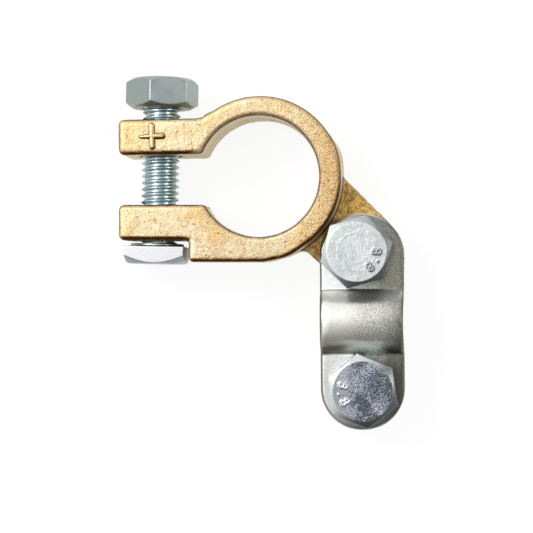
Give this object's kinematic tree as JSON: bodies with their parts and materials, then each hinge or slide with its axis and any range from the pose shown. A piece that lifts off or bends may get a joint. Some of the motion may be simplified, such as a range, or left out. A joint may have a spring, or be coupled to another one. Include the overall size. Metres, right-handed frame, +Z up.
{
  "type": "battery terminal clamp",
  "caption": "Cast brass split-ring battery clamp with a cross bolt through its ears and a bolted saddle that grips the cable.",
  "frame": {"origin": "on the post bore's axis, at the casting's flat base", "axes": "+Z up the post bore, ears towards -X, cable along X in the tray, nut end of the clamp bolt towards +Y"},
  "size_m": [0.0437, 0.0546, 0.0123],
  "materials": {
    "brass_casting": "rough sand casting, tumbled",
    "zinc_fastener": "bright zinc plating",
    "zinc_strap": "zinc-plated pressed steel"
  },
  "bodies": {
    "terminal_body": {"terminal_body": "brass_casting"},
    "clamp_bolt": {"clamp_bolt": "zinc_fastener"},
    "clamp_nut": {"clamp_nut": "zinc_fastener"},
    "cable_saddle": {"cable_saddle": "zinc_strap"},
    "saddle_bolt_inner": {"saddle_bolt_inner": "zinc_fastener"},
    "saddle_bolt_outer": {"saddle_bolt_outer": "zinc_fastener"}
  },
  "joints": [
    {"name": "clamp_nut_turn", "type": "hinge", "parent": "terminal_body", "child": "clamp_nut", "pos_m": [-0.01568, 0, 0.006], "axis": [0.0174, 0.9996, -0.0209], "range_deg": [-110, 740]},
    {"name": "clamp_bolt_draw", "type": "slide", "parent": "terminal_body", "child": "clamp_bolt", "axis": [0.0174, 0.9996, -0.0209], "range_m": [-0.0019, 0.00025]},
    {"name": "saddle_lift", "type": "slide", "parent": "terminal_body", "child": "cable_saddle", "axis": [0, 0, 1], "range_m": [0, 0.005]},
    {"name": "inner_bolt_turn", "type": "hinge", "parent": "cable_saddle", "child": "saddle_bolt_inner", "pos_m": [0.01495, -0.01153, 0.0062], "axis": [0, 0, 1], "range_deg": [-20, 1880]},
    {"name": "outer_bolt_turn", "type": "hinge", "parent": "cable_saddle", "child": "saddle_bolt_outer", "pos_m": [0.01587, -0.0327, 0.0062], "axis": [0, 0, 1], "range_deg": [-20, 1880]}
  ],
  "couplings": [
    {"joint": "clamp_nut_turn", "follows": "clamp_bolt_draw", "rad_per_m": -6283.2},
    {"joint": "inner_bolt_turn", "follows": "saddle_lift", "rad_per_m": 6283.2},
    {"joint": "outer_bolt_turn", "follows": "saddle_lift", "rad_per_m": 6283.2}
  ]
}
